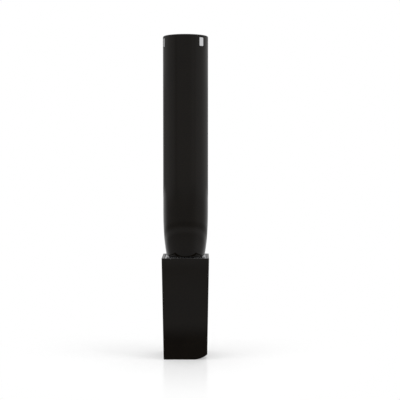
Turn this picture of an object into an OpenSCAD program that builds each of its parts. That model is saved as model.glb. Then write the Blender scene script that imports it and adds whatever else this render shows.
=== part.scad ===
// Slim twist-feed lip colour case: square cap below, round barrel above,
// chrome dispensing head between them. The case stands on its cap, +Z up.

/* [Cap] */
// Length of the cap from its closed end to its rim
cap_length = 42.5; // [38:0.5:52]
// Width of the square cap at its open rim
cap_rim_w = 19.7; // [18.6:0.1:24]
// Width of the square cap at its closed end
cap_end_w = 18.2; // [15:0.1:22]
// Thickness of the cap's walls and of its closed end
cap_wall = 1.15; // [0.9:0.05:1.5]
// Radius of the lift that curves the closed end up to the cap's right side
cap_lift_r = 9.2; // [8:0.1:20]
// Where the lift starts, measured from the cap's axis
cap_lift_x = 3.2; // [2:0.1:5]
// Wall of the inner cap
liner_wall = 0.9; // [0.7:0.05:1.1]
// Thickness of the soft seal under the tip
seal_t = 2.65; // [2:0.05:3.5]
// Radius of the soft seal
seal_r = 3.2; // [2.6:0.1:4]
// Wall of the socket that holds the seal
socket_wall = 0.7; // [0.5:0.05:1]
// How far the socket's wall stands above the seal
socket_lip = 0.5; // [0.2:0.05:1]
// Length of the pin on the seal that enters the outlet
seal_pin_len = 0.8; // [0.4:0.1:1.2]

/* [Head] */
// Thickness of the square flange that the cap's rim surrounds
flange_t = 2.5; // [1.8:0.1:3.5]
// Play between the flange and the cap's wall, on each side
flange_gap = 0.12; // [0.08:0.01:0.3]
// Width of the groove between the flange and the neck
groove_w = 0.6; // [0.4:0.1:1]
// Depth of the groove, measured from the neck's face
groove_depth = 0.8; // [0.4:0.1:1.4]
// How far the neck's top edge stands in from the flange's edge
neck_step = 1.7; // [1.4:0.1:2.2]
// Width of the square neck at its lower end
neck_end_w = 10; // [8.6:0.1:10.4]
// Height of the four-sided point at the neck's lower end
point_h = 2; // [1:0.1:3]
// Diameter of the small detent dimple in each face of the neck
dimple_d = 1; // [0.8:0.1:1.4]
// Depth of each dimple
dimple_depth = 0.4; // [0.2:0.05:0.6]
// How far each dimple lies below the neck's top edge
dimple_drop = 1.3; // [1:0.1:3]
// Diameter of the ball tip
ball_d = 6.5; // [5:0.1:7]
// Distance from the neck's lower end to the ball's centre
ball_reach = 8.8; // [7.5:0.1:11]
// Height of the ball's flattened front below its centre
ball_front = 1.6; // [1.2:0.1:2.2]
// Diameter of the stem between the neck and the ball
stem_d = 2.2; // [2:0.1:3]
// How far the bead on the stem stands out from it
bead_proud = 0.4; // [0.2:0.05:0.8]
// How far the bead's centre lies below the neck's point
bead_drop = 1.2; // [0.8:0.1:2]
// Diameter of the outlet passage through the tip
outlet_d = 1.6; // [1:0.1:1.8]
// Diameter of the outlet's countersink in the ball's front
outlet_mouth_d = 2.4; // [2:0.1:3]
// Depth of that countersink
outlet_mouth_depth = 0.6; // [0.3:0.1:0.9]
// Radius of the tip's shank inside the neck
shank_r = 2.3; // [2.1:0.05:3]
// Length of the tip's shank inside the neck
shank_len = 8.2; // [6:0.1:10]
// Radius of the feed tube that lines the head
feed_r = 1.9; // [1.6:0.05:2]
// Radius of the passage in the feed tube
feed_bore_r = 0.9; // [0.6:0.05:1.1]
// Radius of the collar's spigot inside the neck
spigot_r = 4.6; // [3.5:0.1:5]
// Length of that spigot
spigot_len = 6; // [4:0.1:9]
// Half width of the flat that the neck's point ends in
point_half = 1.4; // [1.25:0.05:1.8]
// Height of the collar's boss inside the reservoir's skirt
boss_h = 7.1; // [6:0.1:9]

/* [Barrel] */
// Outside diameter of the barrel
barrel_d = 19; // [17.5:0.1:23]
// Length of the barrel
barrel_len = 92.1; // [84:0.1:120]
// Gap between the cap's rim and the barrel's lower end
end_gap = 0.4; // [0.3:0.1:2.5]
// Length over which the barrel narrows to its lower end
shoulder_len = 20; // [16:0.5:30]
// Wall of the barrel above its shoulder
barrel_wall = 1.3; // [1:0.05:1.6]
// Wall of the barrel at its lower lip
lip_wall = 0.9; // [0.6:0.05:1.2]
// Wall of the tube that lines the barrel
carrier_wall = 1.15; // [0.95:0.05:1.4]
// Wall of the bearing bush
bush_wall = 0.6; // [0.5:0.05:0.9]
// Length of the bearing bush
bush_len = 13.7; // [11:0.1:17]
// Width of the windows for the end plug's tabs
window_w = 2.9; // [2:0.1:4]
// Height of those windows
window_h = 3.9; // [3:0.1:4.4]
// How far the windows lie below the barrel's top
window_drop = 0.9; // [0.6:0.1:1.4]
// Play round each tab in its window
tab_gap = 0.15; // [0.1:0.05:0.3]
// How far the end plug's floor lies below the windows
plug_drop = 0.4; // [0.2:0.05:0.8]
// How far the tabs' faces lie inside the barrel's surface
tab_sink = 0.1; // [0:0.05:0.3]
// Thickness of the end plug's floor
plug_floor_t = 1.2; // [0.8:0.1:1.6]
// Wall of the end plug
plug_wall = 0.95; // [0.7:0.05:1.2]
// Thickness of the disc that closes the barrel's top
disc_t = 0.8; // [0.6:0.1:1.2]
// How far the disc lies below the barrel's rim
disc_drop = 0.2; // [0:0.05:0.5]
// Size of the chamfer round the barrel's top edge
top_edge = 0.25; // [0.1:0.05:0.4]
// Thickness of the ring that snaps the barrel on
clip_t = 0.8; // [0.6:0.1:1.2]
// Width of the split in that ring
clip_split = 2; // [1:0.1:3]

/* [Feed] */
// Wall of the reservoir
reservoir_wall = 0.8; // [0.6:0.05:1]
// Thickness of the reservoir's floor
reservoir_floor = 1.6; // [1.2:0.1:2.4]
// Play between the turning carrier and the still reservoir
turn_gap = 0.5; // [0.4:0.05:0.8]
// Length of the piston
piston_len = 5.6; // [4.5:0.1:7]
// Crest diameter of the threaded rod
rod_d = 5.2; // [4.4:0.1:5.6]
// Width of the rod across its two flats
rod_flats = 4; // [3.4:0.1:4.3]
// Depth of the rod's thread
thread_depth = 0.5; // [0.3:0.05:0.6]
// Spacing of the rod's thread crests
thread_pitch = 1.6; // [1.2:0.1:2]
// Thickness of the guide that keeps the rod from turning
guide_t = 2; // [1.6:0.1:3]
// Length of the drive nut
nut_len = 5.7; // [4:0.1:7]
// Width of the nut's three keys
key_w = 2; // [1.4:0.1:3]
// How far the keys reach into the carrier's wall
key_depth = 0.5; // [0.3:0.05:0.6]
// Thickness of the click ring's plate
click_t = 0.7; // [0.5:0.05:1]
// Height of the click ring's teeth
tooth_h = 0.5; // [0.3:0.05:0.8]
// Number of those teeth
teeth = 12; // [8:1:16]
// Radius of the rod's foot
rod_foot_r = 2; // [1.6:0.1:2.2]
// Depth of the snap edge round the rod's foot
foot_snap = 0.3; // [0.2:0.05:0.4]

/* [Fits] */
// Radial play of a turning or sliding fit
run_fit = 0.05; // [0.03:0.01:0.1]
// Radial play of pieces fixed to each other
fixed_fit = 0.05; // [0.02:0.01:0.08]
// End play between faces that pass each other
end_play = 0.3; // [0.2:0.05:0.5]
// Play between the ball's front and its seal
tip_play = 0.15; // [0.1:0.05:0.3]

/* [Hidden] */

$fn = 96;
// Overlap of joined shapes and reach of cutting shapes past a face
over = 1;

// Cap: its half width at a height
cap_rise = (cap_rim_w - cap_end_w) / 2 / cap_length;
function cap_half(z) = cap_end_w / 2 + cap_rise * z;

// Head, from the rim downwards
rim_z = cap_length;
flange_z = rim_z - flange_t;
neck_z = flange_z - groove_w;
liner_inset = cap_wall + fixed_fit;
liner_floor_z = liner_inset + liner_wall;
ball_front_z = liner_floor_z + seal_t + tip_play;
ball_z = ball_front_z + ball_front;
neck_end_z = ball_z + ball_reach;
point_z = neck_end_z - point_h;
flange_half = cap_half(flange_z) - cap_wall - flange_gap;
neck_half = flange_half - neck_step;
neck_fall = (neck_half - neck_end_w / 2) / (neck_z - neck_end_z);
dimple_z = neck_z - dimple_drop;
dimple_face = neck_half - neck_fall * dimple_drop;
liner_top_z = flange_z - end_play / 2;
shank_top_z = point_z + shank_len;
spigot_z = flange_z - spigot_len;

// Barrel, from its axis outwards
barrel_r = barrel_d / 2;
barrel_bore_r = barrel_r - barrel_wall;
carrier_r = barrel_bore_r - fixed_fit;
carrier_bore_r = carrier_r - carrier_wall;
reservoir_r = carrier_bore_r - turn_gap;
reservoir_bore_r = reservoir_r - reservoir_wall;
bush_bore_r = reservoir_r + run_fit;
bush_r = bush_bore_r + bush_wall;
mouth_bore_r = bush_r + fixed_fit;
mouth_r = mouth_bore_r + lip_wall;
barrel_z = rim_z + end_gap;
barrel_top_z = barrel_z + barrel_len;
bush_z = rim_z + end_play / 3;
bush_top_z = bush_z + bush_len;
clip_z = bush_top_z + end_play;
clip_r = (bush_bore_r + carrier_bore_r) / 2 + run_fit;
clip_groove_r = reservoir_r - reservoir_wall / 2;
step_z = clip_z + clip_t / 2;
window_top_z = barrel_top_z - window_drop;
plug_z = window_top_z - window_h - plug_drop - plug_floor_t;
plug_top_z = barrel_top_z - disc_t - disc_drop;
tab_angles = [-164, -44, 76];

// Feed, from the head upwards; the stroke fills what the barrel leaves free
boss_r = reservoir_bore_r - fixed_fit;
boss_top_z = rim_z + boss_h;
boss_gap = 0.4;
floor_z = boss_top_z + boss_gap;
chamber_z = floor_z + reservoir_floor;
nose_len = 4;
feed_top_z = floor_z - nose_len;
reservoir_ring_r = 0.5;
reservoir_ring_at = (feed_r + boss_r - reservoir_ring_r) / 2;
reservoir_ring_z = floor_z - reservoir_ring_r;
tip_ring_r = 0.37;
tip_ring_at = shank_r - tip_ring_r;
tip_ring_z = (neck_end_z + shank_top_z) / 2;
fixed_stack = piston_len + guide_t + click_t + tooth_h + nut_len + 4 * end_play;
rod_end_play = 1.3;
stroke = (plug_z - rod_end_play - chamber_z - fixed_stack) / 2;
piston_z = chamber_z + stroke + end_play / 2;
piston_top_z = piston_z + piston_len;
guide_z = piston_top_z + end_play * 1.5;
guide_top_z = guide_z + guide_t;
guide_rim_t = 0.6;
nut_z = guide_top_z + click_t + tooth_h + end_play;
nut_top_z = nut_z + nut_len;
rod_r = rod_d / 2;
rod_root_r = rod_r - thread_depth;
foot_t = 1;
rod_foot_len = piston_len - 1.5 * foot_t;
rod_top_z = nut_top_z + stroke + end_play * 1.5;
piston_r = reservoir_bore_r - run_fit;
piston_ring_r = 0.45;
piston_ring_z = piston_z + piston_len / 2;

// A square prism whose half width runs from half_a at z_a to half_b at z_b
module tapered_square(half_a, z_a, half_b, z_b) {
  outline = [[-half_a, z_a], [half_a, z_a], [half_b, z_b], [-half_b, z_b]];
  reach = 2 * max(half_a, half_b) + 2 * over;
  intersection() {
    rotate([90, 0, 0]) linear_extrude(reach, center = true) polygon(outline);
    rotate([90, 0, 90]) linear_extrude(reach, center = true) polygon(outline);
  }
}

// Points along an arc about a centre, from one angle to another, without its first point
function arc(centre, r, from, to, steps) = [
  for (i = [1:steps])
    let (a = from + (to - from) * i / steps)
    centre + r * [cos(a), sin(a)]
];

// The cap's outline seen from the front, set in from its outside by inset:
// flat from the left, then a lift that meets the right side in an edge
module cap_front(inset, top_z) {
  half_low = cap_half(inset) - inset;
  half_top = cap_half(top_z) - inset;
  r = cap_lift_r - inset;
  run = cap_half(0) - inset - cap_lift_x;
  fall = cap_lift_r - cap_rise * run;
  slope = 1 + pow(cap_rise, 2);
  corner_z = (fall - sqrt(pow(fall, 2) - slope * (pow(run, 2) + pow(cap_lift_r, 2) - pow(r, 2)))) / slope;
  corner_x = cap_half(corner_z) - inset;
  lift_end = atan2(corner_z - cap_lift_r, corner_x - cap_lift_x);
  polygon(concat(
    [[-half_low, inset], [cap_lift_x, inset]],
    arc([cap_lift_x, cap_lift_r], r, -90, lift_end, 16),
    [[half_top, top_z], [-half_top, top_z]]
  ));
}

// The cap's solid, set in from its outside by inset and cut off at top_z
module cap_solid(inset, top_z) {
  half_low = cap_half(inset) - inset;
  half_top = cap_half(top_z) - inset;
  side = [[-half_low, inset], [half_low, inset], [half_top, top_z], [-half_top, top_z]];
  reach = 2 * half_top + 2 * over;
  intersection() {
    rotate([90, 0, 0]) linear_extrude(reach, center = true) cap_front(inset, top_z);
    rotate([90, 0, 90]) linear_extrude(reach, center = true) polygon(side);
  }
}

// A round ring between two radii
module ring(r_out, r_in, z_low, z_high) {
  translate([0, 0, z_low]) difference() {
    cylinder(h = z_high - z_low, r = r_out);
    translate([0, 0, -over]) cylinder(h = z_high - z_low + 2 * over, r = r_in);
  }
}

// A round rod
module rod(r, z_low, z_high) {
  translate([0, 0, z_low]) cylinder(h = z_high - z_low, r = r);
}

// A rubber ring of round section
module o_ring(centre_r, section_r, z) {
  translate([0, 0, z]) rotate_extrude() translate([centre_r, 0]) circle(section_r, $fn = 32);
}

// Places its children on each of the neck's four faces
module on_four_faces() {
  for (turn = [0:90:270]) rotate([0, 0, turn]) children();
}

// Places its children, drawn towards +X, at the angle of each of the three tabs
module at_tabs() {
  for (turn = tab_angles) rotate([0, 0, turn]) children();
}

// Square outer cap, hollow from its rim down
module cap_shell() {
  color("#1d1b1b") difference() {
    cap_solid(0, cap_length);
    cap_solid(cap_wall, cap_length + over);
  }
}

// Inner cap: a thin sleeve with a socket for the tip seal and four detent nubs
module cap_liner() {
  nub_tip = dimple_face + tip_play;
  nub_root = cap_half(dimple_z) - liner_inset - liner_wall / 2;
  socket_r = seal_r + fixed_fit;
  color("#2b2929") {
    difference() {
      cap_solid(liner_inset, liner_top_z);
      cap_solid(liner_floor_z, liner_top_z + over);
    }
    ring(
      socket_r + socket_wall, socket_r,
      liner_floor_z - liner_wall / 2, liner_floor_z + seal_t + socket_lip
    );
    on_four_faces() translate([nub_tip, 0, dimple_z]) rotate([0, 90, 0])
      cylinder(h = nub_root - nub_tip, d = dimple_d - 2 * fixed_fit, $fn = 32);
  }
}

// Soft plug that closes the outlet while the cap is on
module tip_seal() {
  seal_top_z = liner_floor_z + seal_t;
  color("#c9c4bd") {
    rod(seal_r, liner_floor_z, seal_top_z);
    rod(outlet_d / 2 - tip_play, seal_top_z - over, seal_top_z + seal_pin_len);
  }
}

// Chrome collar: square flange, boss for the reservoir, spigot for the neck
module collar() {
  groove_half = neck_half - groove_depth;
  seat_half = reservoir_ring_r + fixed_fit;
  color("silver") difference() {
    union() {
      tapered_square(flange_half, flange_z, flange_half, rim_z);
      tapered_square(groove_half, neck_z, groove_half, flange_z + over);
      rod(boss_r, rim_z - over, boss_top_z);
      rod(spigot_r, spigot_z, neck_z + over);
    }
    rod(feed_r + fixed_fit, spigot_z - over, boss_top_z + over);
    ring(
      reservoir_ring_at + seat_half, reservoir_ring_at - seat_half,
      reservoir_ring_z - seat_half, boss_top_z + over
    );
  }
}

// Chrome neck: tapering square with a four-sided point and a dimple in each face
module neck_shroud() {
  color("silver") difference() {
    union() {
      tapered_square(neck_end_w / 2, neck_end_z, neck_half, neck_z);
      tapered_square(point_half, point_z, neck_end_w / 2, neck_end_z);
    }
    rod(spigot_r + fixed_fit, spigot_z, neck_z + over);
    rod(feed_r + fixed_fit, shank_top_z - over, spigot_z + over);
    rod(shank_r + fixed_fit, neck_end_z, shank_top_z);
    rod(stem_d / 2 + fixed_fit, point_z - over, neck_end_z + over);
    on_four_faces() translate([dimple_face - dimple_depth, 0, dimple_z]) rotate([0, 90, 0])
      cylinder(h = dimple_depth + over, d = dimple_d, $fn = 32);
  }
}

// Plastic tube that carries the colour through the metal head
module feed_tube() {
  color("#e4e2dc") ring(feed_r, feed_bore_r, shank_top_z, feed_top_z);
}

// Chrome ball tip on its stem, with the shank that is pressed into the neck
module applicator_tip() {
  groove_half = tip_ring_r + fixed_fit;
  color("silver") difference() {
    union() {
      difference() {
        translate([0, 0, ball_z]) sphere(d = ball_d);
        rod(ball_d, ball_z - ball_d, ball_front_z);
      }
      rod(stem_d / 2, ball_z, neck_end_z + over);
      translate([0, 0, point_z - bead_drop]) sphere(r = stem_d / 2 + bead_proud, $fn = 48);
      rod(shank_r, neck_end_z, shank_top_z);
    }
    rod(outlet_d / 2, ball_front_z - over, shank_top_z + over);
    translate([0, 0, ball_front_z])
      cylinder(h = outlet_mouth_depth, r1 = outlet_mouth_d / 2, r2 = outlet_d / 2);
    ring(shank_r + over, tip_ring_at - groove_half, tip_ring_z - groove_half, tip_ring_z + groove_half);
  }
}

// Rubber ring round the tip's shank
module tip_o_ring() {
  color("#3a3634") o_ring(tip_ring_at, tip_ring_r, tip_ring_z);
}

// Clear reservoir: skirt over the collar's boss, floor with a nose, chamber above
module reservoir() {
  color("#dfe3e6") difference() {
    rod(reservoir_r, rim_z, guide_top_z - guide_rim_t);
    rod(reservoir_bore_r, rim_z - over, floor_z);
    rod(reservoir_bore_r, chamber_z, guide_top_z);
    rod(feed_bore_r, rim_z, chamber_z + over);
    ring(reservoir_r + over, clip_groove_r, clip_z - run_fit, clip_z + clip_t + run_fit);
  }
  color("#dfe3e6") ring(feed_r, feed_bore_r, feed_top_z, floor_z + reservoir_floor / 2);
}

// Rubber ring between the collar's boss and the reservoir's floor
module reservoir_o_ring() {
  color("#3a3634") o_ring(reservoir_ring_at, reservoir_ring_r, reservoir_ring_z);
}

// Guide at the reservoir's top, with a hole that keeps the rod from turning
module rod_guide() {
  slot_w = rod_flats + 2 * run_fit;
  color("#b9b4aa") difference() {
    union() {
      rod(reservoir_bore_r - fixed_fit, guide_z, guide_top_z);
      rod(reservoir_r, guide_top_z - guide_rim_t, guide_top_z);
    }
    intersection() {
      rod(rod_r + run_fit, guide_z - over, guide_top_z + over);
      translate([-rod_d, -slot_w / 2, guide_z - over])
        cube([2 * rod_d, slot_w, guide_t + 2 * over]);
    }
  }
}

// Ratchet ring that clicks against the nut as the barrel turns
module click_ring() {
  inner_r = rod_r + 1;
  tooth_w = 0.6;
  inset = 0.3;
  color("#8f8b86") {
    ring(reservoir_r, inner_r, guide_top_z, guide_top_z + click_t);
    for (tooth = [0:teeth - 1]) rotate([0, 0, tooth * 360 / teeth])
      translate([inner_r + inset, -tooth_w / 2, guide_top_z + click_t / 2])
        cube([reservoir_r - inner_r - 2 * inset, tooth_w, click_t / 2 + tooth_h]);
  }
}

// Snap ring that holds the barrel's bush on the reservoir
module retaining_ring() {
  color("#a8a8ac") difference() {
    ring(clip_r, clip_groove_r + fixed_fit, clip_z, clip_z + clip_t);
    translate([0, -clip_split / 2, clip_z - over])
      cube([clip_r + over, clip_split, clip_t + 2 * over]);
  }
}

// Outline of the barrel's shoulder, from the lower lip up to the full width
shoulder_steps = 20;
shoulder_bend = 2.5;
shoulder = [
  for (i = [0:shoulder_steps])
    let (t = i / shoulder_steps)
    [barrel_r - (barrel_r - mouth_r) * pow(1 - t, shoulder_bend), barrel_z + shoulder_len * t]
];

// Round outer barrel with three windows near its top
module barrel_shell() {
  wall_outline = concat(
    [[mouth_bore_r, barrel_z]],
    shoulder,
    [[barrel_r, barrel_top_z - top_edge], [barrel_r - top_edge, barrel_top_z]],
    [[barrel_bore_r, barrel_top_z], [barrel_bore_r, step_z], [mouth_bore_r, step_z]]
  );
  color("#1b1919") difference() {
    rotate_extrude() polygon(wall_outline);
    at_tabs() translate([barrel_bore_r - over, -window_w / 2, window_top_z - window_h])
      cube([barrel_wall + 2 * over, window_w, window_h]);
  }
}

// Bearing bush in the barrel's lower end, which turns on the reservoir's skirt
module barrel_bush() {
  color("#45423f") ring(bush_r, bush_bore_r, bush_z, bush_top_z);
}

// Tube that lines the barrel and carries the nut in three keyways
module barrel_carrier() {
  stop_t = 2;
  stop_depth = 2;
  color("#d8d4cb") difference() {
    union() {
      ring(carrier_r, carrier_bore_r, step_z, plug_z);
      ring(carrier_r - carrier_wall / 2, carrier_bore_r - stop_depth, nut_top_z, nut_top_z + stop_t);
    }
    at_tabs() translate([carrier_bore_r - over, -key_w / 2 - fixed_fit, step_z - over])
      cube([over + key_depth + fixed_fit, key_w + 2 * fixed_fit, nut_top_z - step_z + over]);
  }
}

// Drive nut, keyed to the carrier, with a running bore for the rod
module drive_nut() {
  color("#d3cec2") difference() {
    union() {
      rod(carrier_bore_r - fixed_fit, nut_z, nut_top_z);
      at_tabs() translate([carrier_bore_r - over, -key_w / 2, nut_z])
        cube([over + key_depth, key_w, nut_len]);
    }
    rod(rod_r + run_fit, nut_z - over, nut_top_z + over);
  }
}

// Chrome plug in the barrel's top, with three tabs that show in the windows
module end_plug() {
  plug_r = barrel_bore_r - fixed_fit;
  tab_w = window_w - 2 * tab_gap;
  tab_h = window_h - 2 * tab_gap;
  color("silver") {
    rod(plug_r, plug_z, plug_z + plug_floor_t);
    ring(plug_r, plug_r - plug_wall, plug_z + plug_floor_t / 2, plug_top_z);
    at_tabs() translate([plug_r - plug_wall / 2, -tab_w / 2, window_top_z - window_h + tab_gap])
      cube([barrel_r - tab_sink - plug_r + plug_wall / 2, tab_w, tab_h]);
  }
}

// Black disc that closes the top, with a lip inside the plug
module end_disc() {
  lip_r = barrel_bore_r - plug_wall - 2 * fixed_fit;
  lip_t = 1;
  lip_len = 1.5;
  color("#1b1919") {
    rod(barrel_bore_r - fixed_fit, plug_top_z, plug_top_z + disc_t);
    ring(lip_r, lip_r - lip_t, plug_top_z - lip_len, plug_top_z + disc_t / 2);
  }
}

// Rod with thread crests, two flats and a foot that snaps into the piston
module piston_rod() {
  foot_z = piston_top_z - rod_foot_len;
  flank_w = thread_pitch / 5;
  crest_w = thread_pitch / 3;
  first_z = piston_top_z + end_play;
  crests = floor((rod_top_z - first_z) / thread_pitch);
  flanks = [
    for (i = [0:crests - 1])
      let (z = first_z + i * thread_pitch)
      each [
        [rod_root_r, z], [rod_r, z + flank_w],
        [rod_r, z + flank_w + crest_w], [rod_root_r, z + 2 * flank_w + crest_w]
      ]
  ];
  color("#e8e6e1") {
    intersection() {
      rotate_extrude() polygon(concat(
        [[0, piston_top_z], [rod_root_r, piston_top_z]],
        flanks,
        [[rod_root_r, rod_top_z], [0, rod_top_z]]
      ));
      translate([-rod_d, -rod_flats / 2, piston_top_z - over])
        cube([2 * rod_d, rod_flats, rod_top_z - piston_top_z + 2 * over]);
    }
    rod(rod_foot_r - foot_snap, foot_z, piston_top_z + over);
    rod(rod_foot_r, foot_z, foot_z + foot_t);
  }
}

// Piston with a socket for the rod's foot and a groove for its seal
module piston() {
  foot_z = piston_top_z - rod_foot_len;
  groove_half = piston_ring_r + fixed_fit;
  color("#f0eee9") difference() {
    rod(piston_r, piston_z, piston_top_z);
    rod(rod_foot_r + fixed_fit, foot_z, foot_z + foot_t + fixed_fit);
    rod(rod_foot_r - foot_snap + fixed_fit, foot_z, piston_top_z + over);
    ring(
      piston_r + over, piston_r - 2 * groove_half,
      piston_ring_z - groove_half, piston_ring_z + groove_half
    );
  }
}

// Rubber ring in the piston's groove
module piston_seal() {
  color("#3a3634") o_ring(piston_r - piston_ring_r, piston_ring_r, piston_ring_z);
}

cap_shell();
cap_liner();
tip_seal();
collar();
neck_shroud();
feed_tube();
applicator_tip();
tip_o_ring();
reservoir();
reservoir_o_ring();
rod_guide();
click_ring();
retaining_ring();
barrel_shell();
barrel_bush();
barrel_carrier();
drive_nut();
end_plug();
end_disc();
piston_rod();
piston();
piston_seal();
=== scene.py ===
from math import atan2, cos, pi, radians, sin, sqrt, tan

import bmesh
import bpy
from mathutils import Matrix, Vector


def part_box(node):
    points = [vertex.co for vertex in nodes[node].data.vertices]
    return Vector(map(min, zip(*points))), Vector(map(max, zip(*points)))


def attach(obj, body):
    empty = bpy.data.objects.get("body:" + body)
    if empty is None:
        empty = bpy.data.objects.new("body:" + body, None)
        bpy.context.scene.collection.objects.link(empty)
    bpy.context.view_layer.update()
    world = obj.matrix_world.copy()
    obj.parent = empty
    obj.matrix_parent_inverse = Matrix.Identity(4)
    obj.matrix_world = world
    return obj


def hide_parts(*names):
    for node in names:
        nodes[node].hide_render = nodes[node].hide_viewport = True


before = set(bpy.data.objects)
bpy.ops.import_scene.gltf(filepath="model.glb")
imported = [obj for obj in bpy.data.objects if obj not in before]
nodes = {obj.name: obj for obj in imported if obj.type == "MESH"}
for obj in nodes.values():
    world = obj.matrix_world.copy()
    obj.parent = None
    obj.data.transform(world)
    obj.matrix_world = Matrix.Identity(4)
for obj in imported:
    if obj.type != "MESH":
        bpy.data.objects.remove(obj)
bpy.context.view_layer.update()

mm = 0.001
onAxis = 1e-6  # mm from the axis
filletSteps = 4
sharpAngle = 32  # degrees
scene = bpy.context.scene


# Mesh helpers. Their lengths are in millimetres, in the case's own frame.

def makePiece(name, points, faces):
    mesh = bpy.data.meshes.new(name)
    mesh.from_pydata([Vector(p) * mm for p in points], [], faces)
    work = bmesh.new()
    work.from_mesh(mesh)
    bmesh.ops.recalc_face_normals(work, faces=work.faces)
    work.to_mesh(mesh)
    work.free()
    piece = bpy.data.objects.new(name, mesh)
    scene.collection.objects.link(piece)
    return piece


def softProfile(corners):
    # each corner is (radius, height, fillet); the outline runs back to its start
    profile = []
    for i, (r, z, fillet) in enumerate(corners):
        here = Vector((r, z))
        if not fillet:
            profile.append(here)
            continue
        back = (Vector(corners[i - 1][:2]) - here).normalized()
        ahead = (Vector(corners[(i + 1) % len(corners)][:2]) - here).normalized()
        angle = back.angle(ahead)
        centre = here + (back + ahead).normalized() * (fillet / sin(angle / 2))
        spoke = here + back * (fillet / tan(angle / 2)) - centre
        side = 1 if back.x * ahead.y - back.y * ahead.x < 0 else -1
        for k in range(filletSteps + 1):
            turn = Matrix.Rotation(side * (pi - angle) * k / filletSteps, 2)
            profile.append(centre + turn @ spoke)
    return profile


def lathePoints(profile, segments, offset=0):
    points, rings = [], []
    for r, z in profile:
        if r < onAxis:
            rings.append([len(points)] * segments)
            points.append((0, 0, z))
            continue
        rings.append(list(range(len(points), len(points) + segments)))
        for k in range(segments):
            a = radians(offset) + 2 * pi * k / segments
            points.append((r * cos(a), r * sin(a), z))
    return points, rings


def joinRings(rings, closed=True):
    faces = []
    pairs = list(zip(rings, rings[1:])) + ([(rings[-1], rings[0])] if closed else [])
    for low, high in pairs:
        for k in range(len(low)):
            n = (k + 1) % len(low)
            corners = (low[k], low[n], high[n], high[k])
            face = list(dict.fromkeys(corners))
            if len(face) > 2:
                faces.append(face)
    return faces


def lathe(name, profile, segments, closed=True):
    points, rings = lathePoints(profile, segments)
    return makePiece(name, points, joinRings(rings, closed))


loopShape = {"cornerSteps": 6, "sideSteps": 18}
loopQuarter = loopShape["cornerSteps"] + loopShape["sideSteps"]


def squareLoop(half, z, corner):
    points = []
    inner = half - corner
    for turn in range(4):
        quarter = []
        for k in range(loopShape["cornerSteps"] + 1):
            a = pi / 2 * k / loopShape["cornerSteps"]
            quarter.append((inner + corner * cos(a), inner + corner * sin(a)))
        for k in range(1, loopShape["sideSteps"]):
            quarter.append((inner * (1 - 2 * k / loopShape["sideSteps"]), half))
        for x, y in quarter:
            for _ in range(turn):
                x, y = -y, x
            points.append((x, y, z))
    return points


def circleLoop(r, z):
    points = []
    for k in range(4 * loopQuarter):
        a = pi / 4 + (k - loopShape["cornerSteps"] / 2) * pi / 2 / loopQuarter
        points.append((r * cos(a), r * sin(a), z))
    return points


def skin(name, loops):
    points = [p for loop in loops for p in loop]
    count = len(loops[0])
    rings = [list(range(i * count, (i + 1) * count)) for i in range(len(loops))]
    return makePiece(name, points, joinRings(rings))


def softenEdges(piece, width, steps=2):
    bevel = piece.modifiers.new("softEdges", "BEVEL")
    bevel.width = width * mm
    bevel.segments = steps
    bevel.limit_method = "ANGLE"
    bevel.angle_limit = radians(sharpAngle)
    bevel.miter_outer = "MITER_ARC"
    bevel.use_clamp_overlap = True


def shade(piece, limit=sharpAngle):
    piece.data.shade_smooth()
    piece.data.set_sharp_from_angle(angle=radians(limit))
    weighted = piece.modifiers.new("evenNormals", "WEIGHTED_NORMAL")
    weighted.keep_sharp = True
    weighted.weight = 60


def applyModifiers(piece):
    bpy.context.view_layer.update()
    graph = bpy.context.evaluated_depsgraph_get()
    mesh = bpy.data.meshes.new_from_object(piece.evaluated_get(graph))
    piece.modifiers.clear()
    piece.data = mesh


def cutAway(piece, cutter):
    cut = piece.modifiers.new("cut", "BOOLEAN")
    cut.operation = "DIFFERENCE"
    cut.solver = "EXACT"
    cut.object = cutter
    applyModifiers(piece)
    bpy.data.objects.remove(cutter)


def seat(piece, body, material, cadNode):
    piece.data.materials.clear()
    piece.data.materials.append(material)
    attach(piece, body)
    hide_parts(cadNode)


# Shared surface effects

def newGroup(name, inputs, outputs):
    group = bpy.data.node_groups.new(name, "ShaderNodeTree")
    for label, value in inputs.items():
        socket = group.interface.new_socket(label, in_out="INPUT", socket_type="NodeSocketFloat")
        socket.default_value = value
    for label in outputs:
        group.interface.new_socket(label, in_out="OUTPUT", socket_type="NodeSocketFloat")
    return group, group.nodes.new("NodeGroupInput"), group.nodes.new("NodeGroupOutput")


def mathNode(tree, operation, first, second=0):
    node = tree.nodes.new("ShaderNodeMath")
    node.operation = operation
    for socket, value in zip(node.inputs, (first, second)):
        if hasattr(value, "is_output"):
            tree.links.new(value, socket)
        else:
            socket.default_value = value
    return node.outputs[0]


def noiseNode(tree, scale, detail):
    coords = tree.nodes.new("ShaderNodeTexCoord")
    noise = tree.nodes.new("ShaderNodeTexNoise")
    tree.links.new(coords.outputs["Object"], noise.inputs["Vector"])
    tree.links.new(scale, noise.inputs["Scale"])
    noise.inputs["Detail"].default_value = detail
    return noise.outputs[0]


def rangeNode(tree, value, fromLow, fromHigh, toLow, toHigh, smooth=False):
    node = tree.nodes.new("ShaderNodeMapRange")
    if smooth:
        node.interpolation_type = "SMOOTHSTEP"
    sockets = ("Value", "From Min", "From Max", "To Min", "To Max")
    for label, given in zip(sockets, (value, fromLow, fromHigh, toLow, toHigh)):
        if hasattr(given, "is_output"):
            tree.links.new(given, node.inputs[label])
        else:
            node.inputs[label].default_value = given
    return node.outputs["Result"]


noiseSpan = (0.35, 0.65)  # where nearly all of a noise's values lie
polishMix = {"broadDetail": 3, "broadShare": 0.75, "fineTimes": 14, "fineDetail": 2, "fineShare": 0.25}


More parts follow.
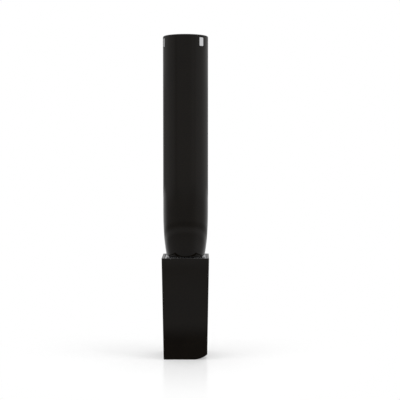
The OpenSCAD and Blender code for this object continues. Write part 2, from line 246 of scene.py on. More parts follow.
def buildPolish():
    # broad handling marks and fine wiping streaks, as a roughness between two values
    group, given, result = newGroup("polish", {"Scale": 60, "Low": 0.05, "High": 0.1}, ["Roughness"])
    p = polishMix
    scale = given.outputs["Scale"]
    broad = noiseNode(group, scale, p["broadDetail"])
    fine = noiseNode(group, mathNode(group, "MULTIPLY", scale, p["fineTimes"]), p["fineDetail"])
    broad = mathNode(group, "MULTIPLY", broad, p["broadShare"])
    fine = mathNode(group, "MULTIPLY", fine, p["fineShare"])
    mixed = mathNode(group, "ADD", broad, fine)
    value = rangeNode(group, mixed, *noiseSpan, given.outputs["Low"], given.outputs["High"], True)
    group.links.new(value, result.inputs["Roughness"])
    return group


def buildSkin():
    # the slight waviness and grain that a moulded or plated surface keeps
    inputs = {"Wave": 250, "Grain": 5000, "Grain share": 0.2}
    group, given, result = newGroup("mouldedSkin", inputs, ["Height"])
    wave = noiseNode(group, given.outputs["Wave"], 2)
    grain = noiseNode(group, given.outputs["Grain"], 2)
    total = mathNode(group, "ADD", wave, mathNode(group, "MULTIPLY", grain, given.outputs["Grain share"]))
    group.links.new(total, result.inputs["Height"])
    return group


def buildShift():
    # slow change of tone over a piece
    group, given, result = newGroup("toneShift", {"Scale": 40}, ["Mask"])
    tone = noiseNode(group, given.outputs["Scale"], 2)
    group.links.new(rangeNode(group, tone, *noiseSpan, 0, 1, True), result.inputs["Mask"])
    return group


effects = {"polish": buildPolish(), "skin": buildSkin(), "shift": buildShift()}


def useEffect(tree, name, **values):
    node = tree.nodes.new("ShaderNodeGroup")
    node.node_tree = effects[name]
    for label, value in values.items():
        node.inputs[label].default_value = value
    return node.outputs[0]


def finishMaterial(name, settings):
    material = bpy.data.materials.new(name)
    material.use_nodes = True
    tree = material.node_tree
    surface = tree.nodes["Principled BSDF"]
    for label, value in settings["fixed"].items():
        surface.inputs[label].default_value = value
    colour = tree.nodes.new("ShaderNodeMix")
    colour.data_type = "RGBA"
    colour.inputs["A"].default_value = (*settings["colours"][0], 1)
    colour.inputs["B"].default_value = (*settings["colours"][1], 1)
    tree.links.new(useEffect(tree, "shift", Scale=settings["toneScale"]), colour.inputs["Factor"])
    tree.links.new(colour.outputs["Result"], surface.inputs["Base Color"])
    low, high = settings["roughness"]
    gloss = useEffect(tree, "polish", Scale=settings["polishScale"], Low=low, High=high)
    tree.links.new(gloss, surface.inputs["Roughness"])
    bump = tree.nodes.new("ShaderNodeBump")
    bump.inputs["Strength"].default_value = settings["bump"]
    bump.inputs["Distance"].default_value = settings["bumpDepth"] * mm
    wave, grain, share = settings["skin"]
    height = useEffect(tree, "skin", **{"Wave": wave, "Grain": grain, "Grain share": share})
    tree.links.new(height, bump.inputs["Height"])
    tree.links.new(bump.outputs["Normal"], surface.inputs["Normal"])
    return material


glossBlack = finishMaterial("glossBlack", {
    "colours": [(0.0028, 0.0018, 0.0009), (0.0038, 0.0026, 0.0014)], "toneScale": 60,
    "roughness": (0.055, 0.085), "polishScale": 70,
    "bump": 0.06, "bumpDepth": 0.02, "skin": (500, 9000, 0.1),
    "fixed": {"IOR": 1.5, "Specular IOR Level": 0.26},
})
innerBlack = finishMaterial("innerBlack", {
    "colours": [(0.012, 0.0115, 0.011), (0.017, 0.016, 0.0155)], "toneScale": 120,
    "roughness": (0.38, 0.5), "polishScale": 150,
    "bump": 0.25, "bumpDepth": 0.02, "skin": (900, 14000, 0.6),
    "fixed": {"IOR": 1.5},
})
chrome = finishMaterial("chrome", {
    "colours": [(0.83, 0.83, 0.84), (0.78, 0.785, 0.8)], "toneScale": 90,
    "roughness": (0.035, 0.075), "polishScale": 120,
    "bump": 0.04, "bumpDepth": 0.02, "skin": (420, 12000, 0.06),
    "fixed": {"Metallic": 1.0},
})
naturalPlastic = finishMaterial("naturalPlastic", {
    "colours": [(0.72, 0.69, 0.62), (0.66, 0.63, 0.57)], "toneScale": 150,
    "roughness": (0.32, 0.45), "polishScale": 180,
    "bump": 0.2, "bumpDepth": 0.02, "skin": (700, 12000, 0.4),
    "fixed": {"IOR": 1.5, "Subsurface Weight": 0.15, "Subsurface Scale": 0.001},
})
clearPlastic = finishMaterial("clearPlastic", {
    "colours": [(0.93, 0.95, 0.96), (0.9, 0.93, 0.95)], "toneScale": 100,
    "roughness": (0.03, 0.08), "polishScale": 160,
    "bump": 0.05, "bumpDepth": 0.02, "skin": (350, 9000, 0.1),
    "fixed": {"IOR": 1.49, "Transmission Weight": 1.0},
})
sealRubber = finishMaterial("sealRubber", {
    "colours": [(0.022, 0.021, 0.02), (0.03, 0.029, 0.028)], "toneScale": 200,
    "roughness": (0.55, 0.7), "polishScale": 260,
    "bump": 0.3, "bumpDepth": 0.02, "skin": (1200, 16000, 0.8),
    "fixed": {"IOR": 1.5},
})
softSeal = finishMaterial("softSeal", {
    "colours": [(0.56, 0.53, 0.49), (0.5, 0.47, 0.43)], "toneScale": 160,
    "roughness": (0.45, 0.6), "polishScale": 220,
    "bump": 0.2, "bumpDepth": 0.02, "skin": (800, 14000, 0.6),
    "fixed": {"IOR": 1.45, "Subsurface Weight": 0.2, "Subsurface Scale": 0.001},
})
springSteel = finishMaterial("springSteel", {
    "colours": [(0.5, 0.5, 0.52), (0.44, 0.44, 0.46)], "toneScale": 220,
    "roughness": (0.2, 0.32), "polishScale": 300,
    "bump": 0.2, "bumpDepth": 0.01, "skin": (900, 20000, 0.8),
    "fixed": {"Metallic": 1.0},
})
print("finishes made")


# Cap: a tapering square prism whose closed end is flat on the left and curves up to the right side

capLow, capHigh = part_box("cap_shell")
capShape = {
    "length": capHigh.z / mm, "rimWidth": (capHigh.x - capLow.x) / mm, "endWidth": 18.2, "wall": 1.15,
    "liftRadius": 9.2, "liftStart": 3.2, "liftSteps": 20, "leftEdge": 0.3, "rightEdge": 0.4, "softness": 0.09,
}
capRise = (capShape["rimWidth"] - capShape["endWidth"]) / 2 / capShape["length"]


def capHalf(z):
    return capShape["endWidth"] / 2 + capRise * z


def capOutline(inset, top):
    lift, liftX = capShape["liftRadius"], capShape["liftStart"]
    reach = lift - inset
    # where the lift's arc meets the right side
    run = capHalf(0) - inset - liftX
    fall, slope = lift - capRise * run, 1 + capRise ** 2
    meetZ = (fall - sqrt(fall ** 2 - slope * (run ** 2 + lift ** 2 - reach ** 2))) / slope
    end = atan2(meetZ - lift, capHalf(meetZ) - inset - liftX)
    leftEdge = 0 if inset else capShape["leftEdge"]
    corners = [(-(capHalf(top) - inset), top, 0), (-(capHalf(inset) - inset), inset, leftEdge)]
    corners.append((liftX, inset, 0))
    for k in range(1, capShape["liftSteps"] + 1):
        a = -pi / 2 + (end + pi / 2) * k / capShape["liftSteps"]
        soft = capShape["rightEdge"] if k == capShape["liftSteps"] and not inset else 0
        corners.append((liftX + reach * cos(a), lift + reach * sin(a), soft))
    corners.append((capHalf(top) - inset, top, 0))
    return [tuple(p) for p in softProfile(corners)]


def capHollow(outerInset, innerInset, top):
    # points and faces of a cup whose wall lies between two insets from the cap's outside
    points, faces, walls = [], [], []
    for inset in (outerInset, innerInset):
        outline = capOutline(inset, top)
        count = len(outline)
        front = list(range(len(points), len(points) + count))
        points += [(x, inset - capHalf(z), z) for x, z in outline]
        rear = list(range(len(points), len(points) + count))
        points += [(x, capHalf(z) - inset, z) for x, z in outline]
        faces += [front, rear]
        faces += [[front[k], front[k + 1], rear[k + 1], rear[k]] for k in range(count - 1)]
        walls.append((front[0], front[-1], rear[-1], rear[0]))
    for k in range(4):
        n = (k + 1) % 4
        faces.append([walls[0][k], walls[0][n], walls[1][n], walls[1][k]])
    return points, faces


capShell = makePiece("capShell", *capHollow(0, capShape["wall"], capShape["length"]))
softenEdges(capShell, capShape["softness"], 3)
shade(capShell)
seat(capShell, "cap", glossBlack, "cap_shell")

linerShape = {
    "inset": 1.2, "wall": 0.9, "top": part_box("cap_liner")[1].z / mm,
    "socketInner": 3.25, "socketOuter": 3.95, "socketTop": 5.25, "socketSink": 0.4,
    "socketOuterEdge": 0.12, "socketInnerEdge": 0.2, "nubRadius": 0.45, "nubTip": 6.887, "nubLength": 0.95,
    "nubZ": 38.1, "nubDome": [(0.6, 0), (0.88, 0.08), (1, 0.22)], "softness": 0.1,
}


def linerNub(turn):
    # a round nub with a domed tip that points inward from the liner's wall
    s = linerShape
    profile = [(0, 0)] + [(s["nubRadius"] * share, rise) for share, rise in s["nubDome"]]
    profile += [(s["nubRadius"], s["nubLength"]), (0, s["nubLength"])]
    points, rings = lathePoints(profile, 24)
    spin = Matrix.Rotation(radians(turn), 3, "Z")
    placed = [spin @ Vector((s["nubTip"] + z, x, y + s["nubZ"])) for x, y, z in points]
    return placed, joinRings(rings, False)


def buildLiner():
    s = linerShape
    points, faces = capHollow(s["inset"], s["inset"] + s["wall"], s["top"])
    floor = s["inset"] + s["wall"]
    profile = softProfile([
        (s["socketInner"], floor - s["socketSink"], 0), (s["socketOuter"], floor - s["socketSink"], 0),
        (s["socketOuter"], s["socketTop"], s["socketOuterEdge"]),
        (s["socketInner"], s["socketTop"], s["socketInnerEdge"]),
    ])
    socketPoints, socketRings = lathePoints(profile, 96)
    extras = [(socketPoints, joinRings(socketRings))] + [linerNub(turn) for turn in (0, 90, 180, 270)]
    for morePoints, moreFaces in extras:
        start = len(points)
        points += [tuple(p) for p in morePoints]
        faces += [[start + k for k in face] for face in moreFaces]
    return makePiece("capLiner", points, faces)


capLiner = buildLiner()
softenEdges(capLiner, linerShape["softness"])
shade(capLiner)
seat(capLiner, "cap", innerBlack, "cap_liner")

sealShape = {
    "radius": 3.2, "floor": 2.1, "top": 4.75, "pinRadius": 0.65, "pinTop": 5.55,
    "floorEdge": 0.1, "topEdge": 0.25, "pinFoot": 0.12, "pinEdge": 0.2,
}


def buildSeal():
    s = sealShape
    profile = softProfile([
        (s["radius"], s["floor"], s["floorEdge"]), (s["radius"], s["top"], s["topEdge"]),
        (s["pinRadius"], s["top"], s["pinFoot"]), (s["pinRadius"], s["pinTop"], s["pinEdge"]),
        (0, s["pinTop"], 0), (0, s["floor"], 0),
    ])
    profile = [(0, s["floor"])] + [tuple(p) for p in profile[:-2]] + [(0, s["pinTop"])]
    return lathe("tipSeal", profile, 96, closed=False)


tipSeal = buildSeal()
shade(tipSeal)
seat(tipSeal, "cap", softSeal, "tip_seal")
print("cap built")


# Head: chrome collar, tapering neck and ball tip

collarShape = {
    "bore": 1.95, "spigotRadius": 4.6, "spigotLow": 34.0, "grooveHalf": 6.035, "grooveCorner": 0.5,
    "grooveLow": 39.4, "flangeLow": 40.0, "flangeHigh": 42.5, "flangeHalf": 8.535, "flangeCorner": 0.4,
    "bossRadius": 5.65, "bossTop": 49.6, "seatOuter": 4.075, "seatInner": 2.975, "seatFloor": 48.95,
    "softness": 0.12,
}


def buildCollar():
    s = collarShape
    return skin("collarChrome", [
        circleLoop(s["bore"], s["spigotLow"]), circleLoop(s["spigotRadius"], s["spigotLow"]),
        circleLoop(s["spigotRadius"], s["grooveLow"]),
        squareLoop(s["grooveHalf"], s["grooveLow"], s["grooveCorner"]),
        squareLoop(s["grooveHalf"], s["flangeLow"], s["grooveCorner"]),
        squareLoop(s["flangeHalf"], s["flangeLow"], s["flangeCorner"]),
        squareLoop(s["flangeHalf"], s["flangeHigh"], s["flangeCorner"]),
        circleLoop(s["bossRadius"], s["flangeHigh"]), circleLoop(s["bossRadius"], s["bossTop"]),
        circleLoop(s["seatOuter"], s["bossTop"]), circleLoop(s["seatOuter"], s["seatFloor"]),
        circleLoop(s["seatInner"], s["seatFloor"]), circleLoop(s["seatInner"], s["bossTop"]),
        circleLoop(s["bore"], s["bossTop"]),
    ])


collar = buildCollar()
softenEdges(collar, collarShape["softness"])
shade(collar)
seat(collar, "head", chrome, "collar")

neckShape = {
    "topHalf": 6.835, "topZ": 39.4, "lowHalf": 5.0, "lowZ": 15.3, "pointHalf": 1.4, "pointZ": 13.3,
    "corner": 0.5, "spigotBore": 4.65, "spigotLow": 34.0, "tubeBore": 1.95, "shankTop": 21.5,
    "shankBore": 2.35, "stemBore": 1.15, "dimpleZ": 38.1, "dimpleRadius": 0.5, "dimpleDepth": 0.4,
    "dimpleFloor": 0.35, "dimpleEdge": 0.24, "softness": 0.2,
}


def buildNeck():
    s = neckShape
    neck = skin("neckChrome", [
        squareLoop(s["pointHalf"], s["pointZ"], s["corner"] / 2),
        squareLoop(s["lowHalf"], s["lowZ"], s["corner"]),
        squareLoop(s["topHalf"], s["topZ"], s["corner"]),
        circleLoop(s["spigotBore"], s["topZ"]), circleLoop(s["spigotBore"], s["spigotLow"]),
        circleLoop(s["tubeBore"], s["spigotLow"]), circleLoop(s["tubeBore"], s["shankTop"]),
        circleLoop(s["shankBore"], s["shankTop"]), circleLoop(s["shankBore"], s["lowZ"]),
        circleLoop(s["stemBore"], s["lowZ"]), circleLoop(s["stemBore"], s["pointZ"]),
    ])
    fall = (s["topHalf"] - s["lowHalf"]) / (s["topZ"] - s["lowZ"])
    face = s["topHalf"] - fall * (s["topZ"] - s["dimpleZ"])
    profile = [
        (0, face - s["dimpleDepth"]), (s["dimpleFloor"], face - s["dimpleDepth"]),
        (s["dimpleRadius"], face - s["dimpleEdge"]), (s["dimpleRadius"], face + 1), (0, face + 1),
    ]
    points, faces = [], []
    for turn in range(4):
        dimple, rings = lathePoints(profile, 32)
        spin = Matrix.Rotation(turn * pi / 2, 3, "Z")
        start = len(points)
        points += [tuple(spin @ Vector((z, x, y + s["dimpleZ"]))) for x, y, z in dimple]
        faces += [[start + k for k in corners] for corners in joinRings(rings, False)]
    cutAway(neck, makePiece("dimpleCutter", points, faces))
    return neck


neck = buildNeck()
softenEdges(neck, neckShape["softness"])
shade(neck)
seat(neck, "head", chrome, "neck_shroud")

tipShape = {
    "ballRadius": 3.25, "ballZ": 6.5, "ballSteps": 40, "front": 1.6, "frontSoftness": 0.22, "frontSteps": 6,
    "outlet": 0.8, "outletEdge": 0.05, "mouth": 1.2, "mouthDepth": 0.6, "mouthEdge": 0.08,
    "stem": 1.1, "blend": 0.35, "blendMiddle": (0.1225, 0.12), "blendRise": 0.4,
    "beadRadius": 1.5, "beadZ": 12.1, "beadSteps": 16, "beadFoot": 0.1, "beadHead": 0.05,
    "shank": 2.3, "shankLow": 15.3, "shankTop": 21.5, "shankFoot": 0.15, "shankEdge": 0.2,
    "grooveRadius": 1.51, "grooveLow": 17.98, "grooveHigh": 18.82, "grooveEdge": 0.05,
}


def ballProfile(s):
    # from the outlet's mouth, round the soft edge of the flat front and over the ball to the stem
    frontZ = s["ballZ"] - s["front"]
    frontRadius = sqrt(s["ballRadius"] ** 2 - s["front"] ** 2)
    profile = softProfile([
        (s["outlet"], s["shankTop"], 0), (s["outlet"], frontZ + s["mouthDepth"], s["outletEdge"]),
        (s["mouth"], frontZ, s["mouthEdge"]), (frontRadius, frontZ, 0),
    ])[1:-1]
    low = -atan2(s["front"], frontRadius) + s["frontSoftness"] / s["ballRadius"]
    flatEnd = (frontRadius - s["frontSoftness"], frontZ)
    corner = (frontRadius, frontZ)
    ballStart = (s["ballRadius"] * cos(low), s["ballZ"] + s["ballRadius"] * sin(low))
    profile.append(flatEnd)
    for k in range(1, s["frontSteps"]):
        t = k / s["frontSteps"]
        profile.append(tuple((1 - t) ** 2 * a + 2 * t * (1 - t) * b + t * t * c
                             for a, b, c in zip(flatEnd, corner, ballStart)))
    neckRadius = s["stem"] + s["blend"]
    high = atan2(sqrt(s["ballRadius"] ** 2 - neckRadius ** 2), neckRadius)
    for k in range(s["ballSteps"] + 1):
        a = low + (high - low) * k / s["ballSteps"]
        profile.append((s["ballRadius"] * cos(a), s["ballZ"] + s["ballRadius"] * sin(a)))
    ballTop = s["ballZ"] + s["ballRadius"] * sin(high)
    outward, upward = s["blendMiddle"]
    return profile + [(s["stem"] + outward, ballTop + upward), (s["stem"], ballTop + s["blendRise"])]


def buildTip():
    s = tipShape
    profile = ballProfile(s)
    reach = sqrt(s["beadRadius"] ** 2 - s["stem"] ** 2)
    profile.append((s["stem"], s["beadZ"] - reach - s["beadFoot"]))
    for k in range(s["beadSteps"] + 1):
        a = atan2(-reach, s["stem"]) * (1 - 2 * k / s["beadSteps"])
        profile.append((s["beadRadius"] * cos(a), s["beadZ"] + s["beadRadius"] * sin(a)))
    profile += [(s["stem"], s["beadZ"] + reach + s["beadHead"]), (s["stem"], s["shankLow"])]
    profile += softProfile([
        (s["stem"], s["shankLow"], 0), (s["shank"], s["shankLow"], s["shankFoot"]),
        (s["shank"], s["grooveLow"], s["grooveEdge"]), (s["grooveRadius"], s["grooveLow"], 0),
        (s["grooveRadius"], s["grooveHigh"], 0), (s["shank"], s["grooveHigh"], s["grooveEdge"]),
        (s["shank"], s["shankTop"], s["shankEdge"]), (s["outlet"], s["shankTop"], s["outletEdge"]),
        (s["outlet"], s["shankLow"], 0),
    ])[1:-1]
    return lathe("ballTip", profile, 128)


ballTip = buildTip()
shade(ballTip, 40)
seat(ballTip, "head", chrome, "applicator_tip")
print("head built")


# Barrel: a round tube with a narrowing lower end and three windows near its top

barrelLow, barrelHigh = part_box("barrel_shell")
barrelShape = {
    "radius": (barrelHigh.x - barrelLow.x) / 2 / mm, "low": barrelLow.z / mm, "high": barrelHigh.z / mm,
    "bore": 8.2, "mouthRadius": 8.1, "mouthBore": 7.2, "stepZ": 57.0, "shoulder": 20.0, "shoulderRows": 28,
    "shoulderBend": 2.5, "rows": (80, 100, 120), "topEdge": 0.25, "segments": 240, "gridTurn": 1,
    "windowLow": 130.2, "windowHigh": 134.1, "windowHalf": 5, "tabs": (-164, -44, 76), "softness": 0.09,
}


def buildBarrel():
    s = barrelShape
    count = s["segments"]
    outer = [(s["mouthRadius"], s["low"])]
    for k in range(1, s["shoulderRows"] + 1):
        t = k / s["shoulderRows"]
        drop = (s["radius"] - s["mouthRadius"]) * (1 - t) ** s["shoulderBend"]
        outer.append((s["radius"] - drop, s["low"] + s["shoulder"] * t))
    rows = (s["windowLow"], s["windowHigh"], s["high"] - s["topEdge"])
    outer += [(s["radius"], z) for z in s["rows"] + rows]
    outer.append((s["radius"] - s["topEdge"], s["high"]))
    inner = [(s["bore"], s["high"]), (s["bore"], s["windowHigh"]), (s["bore"], s["windowLow"])]
    inner += [(s["bore"], s["stepZ"]), (s["mouthBore"], s["stepZ"]), (s["mouthBore"], s["low"])]
    profile = outer + inner
    points, rings = lathePoints(profile, count, s["gridTurn"])
    # each window is left open for windowHalf grid steps on either side of its tab's middle
    opened = set()
    for tab in s["tabs"]:
        middle = round((tab - s["gridTurn"]) * count / 360)
        opened |= {(middle + k) % count for k in range(-s["windowHalf"], s["windowHalf"])}
    outLow = next(i for i, p in enumerate(profile) if p == (s["radius"], s["windowLow"]))
    inHigh = next(i for i, p in enumerate(profile) if p == (s["bore"], s["windowHigh"]))
    faces = []
    for i in range(len(profile)):
        j = (i + 1) % len(profile)
        for k in range(count):
            n = (k + 1) % count
            if k in opened and i in (outLow, inHigh):
                continue
            faces.append([rings[i][k], rings[i][n], rings[j][n], rings[j][k]])
    inLow, outHigh = inHigh + 1, outLow + 1
    for k in opened:
        n = (k + 1) % count
        faces.append([rings[outLow][k], rings[outLow][n], rings[inLow][n], rings[inLow][k]])
        faces.append([rings[outHigh][k], rings[outHigh][n], rings[inHigh][n], rings[inHigh][k]])
        for here, beyond in ((k, (k - 1) % count), (n, n)):
            if beyond not in opened:
                faces.append([rings[row][here] for row in (outLow, outHigh, inHigh, inLow)])
    return makePiece("barrelShell", points, faces)


barrelShell = buildBarrel()
softenEdges(barrelShell, barrelShape["softness"])
shade(barrelShell)
seat(barrelShell, "barrel", glossBlack, "barrel_shell")

bushShape = {"bore": 6.55, "radius": 7.15, "low": 42.6, "high": 56.3, "boreEdge": 0.12, "outerEdge": 0.15}


def buildBush():
    s = bushShape
    return lathe("barrelBush", softProfile([
        (s["bore"], s["low"], s["boreEdge"]), (s["radius"], s["low"], s["outerEdge"]),
        (s["radius"], s["high"], s["outerEdge"]), (s["bore"], s["high"], s["boreEdge"]),
    ]), 160)


bush = buildBush()
shade(bush)
seat(bush, "barrel", innerBlack, "barrel_bush")

plugShape = {
    "radius": 8.15, "floorLow": 128.6, "floorHigh": 129.8, "wall": 0.95, "top": 134.0,
    "footEdge": 0.15, "topEdge": 0.1, "floorEdge": 0.2,
    "tabFace": 9.4, "tabRoot": 7.7, "tabWidth": 2.3, "tabLow": 130.35, "tabHigh": 133.95,
    "tabCorner": 0.3, "cornerSteps": 5, "topSteps": 3, "tabSoftness": 0.12, "softSteps": 4,
}


def tabOutline(halfWidth, low, high, corner):
    # across the top from one side to the other, then back along the bottom
    cornerSteps, topSteps = plugShape["cornerSteps"], plugShape["topSteps"]
    straight = halfWidth - corner
    turns = [pi / 2 * k / cornerSteps for k in range(cornerSteps + 1)]
    top = [(straight + corner * cos(a), corner * sin(a)) for a in turns]
    top += [(straight * (1 - k / topSteps), corner) for k in range(1, topSteps)]
    top += [(0, corner)] + [(-u, rise) for u, rise in reversed(top)]
    outline = [(u, high - corner + rise) for u, rise in top]
    return outline + [(u, low + corner - rise) for u, rise in reversed(top)]


def buildPlug():
    s = plugShape
    inside = s["radius"] - s["wall"]
    profile = softProfile([
        (s["radius"], s["floorLow"], s["footEdge"]), (s["radius"], s["top"], s["topEdge"]),
        (inside, s["top"], s["topEdge"]), (inside, s["floorHigh"], s["floorEdge"]),
    ])
    profile = [(0, s["floorLow"])] + [tuple(p) for p in profile] + [(0, s["floorHigh"])]
    points, plugRings = lathePoints(profile, 160)
    faces = joinRings(plugRings, False)
    soft = s["tabSoftness"]
    # rings run out from the plug's wall to the curved face, the last ones drawn in as a soft edge
    steps = [(s["tabRoot"], 0), (s["tabFace"] - soft, 0)]
    turns = [pi / 2 * k / s["softSteps"] for k in range(1, s["softSteps"] + 1)]
    steps += [(s["tabFace"] - soft * (1 - sin(a)), soft * (1 - cos(a))) for a in turns]
    for tab in barrelShape["tabs"]:
        spin = Matrix.Rotation(radians(tab), 3, "Z")
        rings = []
        for reach, draw in steps:
            low, high = s["tabLow"] + draw, s["tabHigh"] - draw
            outline = tabOutline(s["tabWidth"] / 2 - draw, low, high, s["tabCorner"])
            rings.append(list(range(len(points), len(points) + len(outline))))
            points += [tuple(spin @ Vector((sqrt(reach ** 2 - u ** 2), u, v))) for u, v in outline]
        faces += joinRings(rings, False)
        for ring in (rings[0], rings[-1]):
            last = len(ring) - 1
            for k in range(len(ring) // 2 - 1):
                faces.append([ring[k], ring[k + 1], ring[last - k - 1], ring[last - k]])
    return makePiece("endPlug", points, faces)


endPlug = buildPlug()
shade(endPlug)
seat(endPlug, "barrel", chrome, "end_plug")

discShape = {
    "radius": 8.15, "low": 134.0, "high": 134.8, "lipOuter": 7.1, "lipInner": 6.1, "lipLow": 132.5,
    "fineEdge": 0.05, "softEdge": 0.15,
}


def buildDisc():
    s = discShape
    profile = softProfile([
        (s["lipInner"], s["low"], s["fineEdge"]), (s["lipInner"], s["lipLow"], s["softEdge"]),
        (s["lipOuter"], s["lipLow"], s["softEdge"]), (s["lipOuter"], s["low"], s["fineEdge"]),
        (s["radius"], s["low"], s["fineEdge"]), (s["radius"], s["high"], s["softEdge"]),
    ])
    profile = [(0, s["low"])] + [tuple(p) for p in profile] + [(0, s["high"])]
    return lathe("endDisc", profile, 160, closed=False)


disc = buildDisc()
shade(disc)
seat(disc, "barrel", glossBlack, "end_disc")
print("barrel built")


# Inside pieces keep their frame shapes and take their finishes

insideFinishes = {
    "feed_tube": naturalPlastic, "tip_o_ring": sealRubber, "reservoir": clearPlastic,
    "reservoir_o_ring": sealRubber, "rod_guide": naturalPlastic, "click_ring": naturalPlastic,
    "retaining_ring": springSteel, "barrel_carrier": naturalPlastic, "drive_nut": naturalPlastic,
    "piston_rod": naturalPlastic, "piston": naturalPlastic, "piston_seal": sealRubber,
}
for nodeName, material in insideFinishes.items():
    for holder in nodes[nodeName].material_slots:
        holder.material = material
print("inside pieces finished")


# Studio

floorShape = {"half": 1.5, "colour": 0.8, "glow": 0.26, "roughness": 0.2, "whiteOver": (0.03, 0.085)}

# painted brightness of the table where a piece mirrors it, and the distances and headings over which that
# changes
paintedTableLight = {
    "under": 0.14, "ahead": 0.46, "left": 0.5, "right": 0.68, "behind": 0.95,
    "outward": 0.8, "band": 0.7, "ring": 0.18,
    "underOver": (0.04, 0.085), "outwardOver": (0.13, 0.3), "ringIn": (0.25, 0.3), "ringOut": (0.33, 0.37),
    "bandIn": (0.36, 0.4), "bandOut": (0.45, 0.56),
    "sideTurn": (-0.7, 0.6), "backTurn": (0.15, 0.7), "frontTurn": (-0.94, -0.35),
}


def paintedTableReflection(tree, place, reach):
    # the table glows with painted light that only reflections see: a painted shadow under the case, painted
    # shade ahead of it, brighter at the sides and behind, falling off outward; further out a painted bright
    # ring and then a dimmer band, which give the chrome its contrast
    m = paintedTableLight
    heading = tree.nodes.new("ShaderNodeVectorMath")
    heading.operation = "NORMALIZE"
    tree.links.new(place, heading.inputs[0])
    split = tree.nodes.new("ShaderNodeSeparateXYZ")
    tree.links.new(heading.outputs["Vector"], split.inputs[0])
    sides = rangeNode(tree, split.outputs["X"], *m["sideTurn"], m["left"], m["right"], True)
    turned = rangeNode(tree, split.outputs["Y"], *m["backTurn"], sides, m["behind"], True)
    allRound = rangeNode(tree, split.outputs["Y"], *m["frontTurn"], m["ahead"], turned, True)
    near = rangeNode(tree, reach, *m["underOver"], m["under"], allRound, True)
    outward = rangeNode(tree, reach, *m["outwardOver"], 1, m["outward"], True)
    bandIn = rangeNode(tree, reach, *m["bandIn"], 0, 1, True)
    bandOut = rangeNode(tree, reach, *m["bandOut"], 1, 0, True)
    band = rangeNode(tree, mathNode(tree, "MULTIPLY", bandIn, bandOut), 0, 1, 1, m["band"])
    ringIn = rangeNode(tree, reach, *m["ringIn"], 0, m["ring"], True)
    ringOut = rangeNode(tree, reach, *m["ringOut"], 1, 0, True)
    dimmed = mathNode(tree, "MULTIPLY", near, mathNode(tree, "MULTIPLY", outward, band))
    return mathNode(tree, "ADD", dimmed, mathNode(tree, "MULTIPLY", ringIn, ringOut))


def buildFloor():
    h = floorShape["half"] / mm
    floor = makePiece("studioFloor", [(-h, -h, 0), (h, -h, 0), (h, h, 0), (-h, h, 0)], [[0, 1, 2, 3]])
    material = bpy.data.materials.new("studioFloor")
    material.use_nodes = True
    tree = material.node_tree
    surface = tree.nodes["Principled BSDF"]
    tone = floorShape["colour"]
    surface.inputs["Base Color"].default_value = (tone, tone, tone, 1)
    surface.inputs["Roughness"].default_value = floorShape["roughness"]
    surface.inputs["Emission Color"].default_value = (1, 1, 1, 1)
    surface.inputs["Emission Strength"].default_value = floorShape["glow"]
    path = tree.nodes.new("ShaderNodeLightPath")
    coords = tree.nodes.new("ShaderNodeTexCoord")
    length = tree.nodes.new("ShaderNodeVectorMath")
    length.operation = "LENGTH"
    tree.links.new(coords.outputs["Object"], length.inputs[0])
    # seen by the camera, the floor turns plain white away from the case
    far = rangeNode(tree, length.outputs["Value"], *floorShape["whiteOver"], 0, 1, True)
    white = tree.nodes.new("ShaderNodeEmission")
    seen = tree.nodes.new("ShaderNodeMixShader")
    tree.links.new(mathNode(tree, "MULTIPLY", far, path.outputs["Is Camera Ray"]), seen.inputs[0])
    tree.links.new(surface.outputs[0], seen.inputs[1])
    tree.links.new(white.outputs[0], seen.inputs[2])
    # seen in reflections, the floor glows with this painted light, with its painted shadow under the case
    mirrored = tree.nodes.new("ShaderNodeEmission")
    brightness = paintedTableReflection(tree, coords.outputs["Object"], length.outputs["Value"])
    tree.links.new(brightness, mirrored.inputs["Strength"])
    reflected = tree.nodes.new("ShaderNodeMixShader")
    mirrors = mathNode(tree, "MAXIMUM", path.outputs["Is Glossy Ray"], path.outputs["Is Transmission Ray"])
    tree.links.new(mirrors, reflected.inputs[0])
    tree.links.new(seen.outputs[0], reflected.inputs[1])
    tree.links.new(mirrored.outputs[0], reflected.inputs[2])
    tree.links.new(reflected.outputs[0], tree.nodes["Material Output"].inputs["Surface"])
    floor.data.materials.append(material)


# "lit" is the light that falls on the case; the rest is what a piece mirrors, as parts added to the front's
studio = {
    "lit": 0.72, "front": 0.5, "right": 0.2, "left": 0.1, "rear": -0.16, "rearLeft": -0.12, "top": 0.5,
    "flags": -0.07, "band": -0.35,
    "rightOver": (0.3, 0.95), "leftOver": (-0.97, -0.7), "rearOver": (0.15, 0.85),
    "rearLeftOver": (-0.9, -0.2), "rearFrom": (0, 0.5), "levelOver": (0.05, 0.1), "aboveLevel": 0.3,
    "topOver": (0.25, 0.8), "bandLow": (0.33, 0.38), "bandHigh": (0.45, 0.5),
    "flagPlace": 0.75, "flagHalf": (0.01, 0.13), "flagFront": (-0.4, -0.2),
}


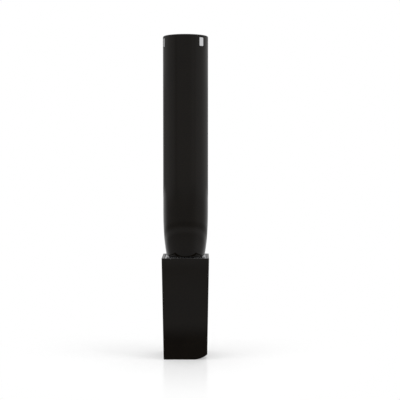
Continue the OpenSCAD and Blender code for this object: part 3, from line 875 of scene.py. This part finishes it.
def mirroredStudio(tree, direction):
    s = studio
    split = tree.nodes.new("ShaderNodeSeparateXYZ")
    tree.links.new(direction, split.inputs[0])
    x, y, z = (split.outputs[label] for label in "XYZ")
    right = rangeNode(tree, x, *s["rightOver"], 0, s["right"], True)
    left = rangeNode(tree, x, *s["leftOver"], s["left"], 0, True)
    # the rear is dim near the level of the table
    level = rangeNode(tree, z, *s["levelOver"], 1, s["aboveLevel"], True)
    rear = mathNode(tree, "MULTIPLY", rangeNode(tree, y, *s["rearOver"], 0, s["rear"], True), level)
    rearLeft = mathNode(tree, "MULTIPLY", rangeNode(tree, x, *s["rearLeftOver"], s["rearLeft"], 0, True),
                        rangeNode(tree, y, *s["rearFrom"], 0, level, True))
    top = rangeNode(tree, z, *s["topOver"], 0, s["top"], True)
    band = mathNode(tree, "MULTIPLY", rangeNode(tree, z, *s["bandLow"], 0, s["band"], True),
                    rangeNode(tree, z, *s["bandHigh"], 1, 0, True))
    # two narrow dark flags stand between the front and the sides
    aside = mathNode(tree, "SUBTRACT", mathNode(tree, "ABSOLUTE", x), s["flagPlace"])
    flags = mathNode(tree, "MULTIPLY",
                     rangeNode(tree, mathNode(tree, "ABSOLUTE", aside), *s["flagHalf"], s["flags"], 0, True),
                     rangeNode(tree, y, *s["flagFront"], 1, 0, True))
    total = s["front"]
    for part in (right, left, rear, rearLeft, top, band, flags):
        total = mathNode(tree, "ADD", part, total)
    return total


def buildWorld():
    world = bpy.data.worlds.new("studio")
    scene.world = world
    world.use_nodes = True
    tree = world.node_tree
    background = tree.nodes["Background"]
    coords = tree.nodes.new("ShaderNodeTexCoord")
    mirrored = mirroredStudio(tree, coords.outputs["Generated"])
    path = tree.nodes.new("ShaderNodeLightPath")
    shiny = mathNode(tree, "MAXIMUM", path.outputs["Is Glossy Ray"], path.outputs["Is Transmission Ray"])
    strength = rangeNode(tree, shiny, 0, 1, studio["lit"], mirrored)
    final = rangeNode(tree, path.outputs["Is Camera Ray"], 0, 1, strength, 1)
    tree.links.new(final, background.inputs["Strength"])
    background.inputs["Color"].default_value = (1, 1, 1, 1)


lampTarget = (0, 0, 0.06)
lamps = {
    "rightSoftbox": {"place": (0.75, -0.25, 0.55), "size": 0.6, "power": 2.4},
    "leftSoftbox": {"place": (-0.8, -0.3, 0.45), "size": 0.6, "power": 1.6},
    "topSoftbox": {"place": (0.0, 0.1, 0.95), "size": 0.8, "power": 2.6},
}


def buildLamps():
    for name, lamp in lamps.items():
        light = bpy.data.lights.new(name, "AREA")
        light.shape = "SQUARE"
        light.size = lamp["size"]
        light.energy = lamp["power"]
        holder = bpy.data.objects.new(name, light)
        scene.collection.objects.link(holder)
        holder.location = lamp["place"]
        aim = Vector(lampTarget) - holder.location
        holder.rotation_euler = aim.to_track_quat("-Z", "Y").to_euler()
        holder.visible_glossy = False


cameraShape = {
    "place": (0.00609, -0.402, 0.0855), "pitchDown": 2.737, "lens": 85.5, "sensor": 36, "clipStart": 0.01,
}


def buildCamera():
    data = bpy.data.cameras.new("camera")
    data.sensor_width = cameraShape["sensor"]
    data.lens = cameraShape["lens"]
    data.clip_start = cameraShape["clipStart"]
    holder = bpy.data.objects.new("camera", data)
    scene.collection.objects.link(holder)
    holder.location = cameraShape["place"]
    holder.rotation_euler = (radians(90 - cameraShape["pitchDown"]), 0, 0)
    scene.camera = holder


buildFloor()
buildWorld()
buildLamps()
buildCamera()
scene.view_settings.view_transform = "Standard"
print("studio set")
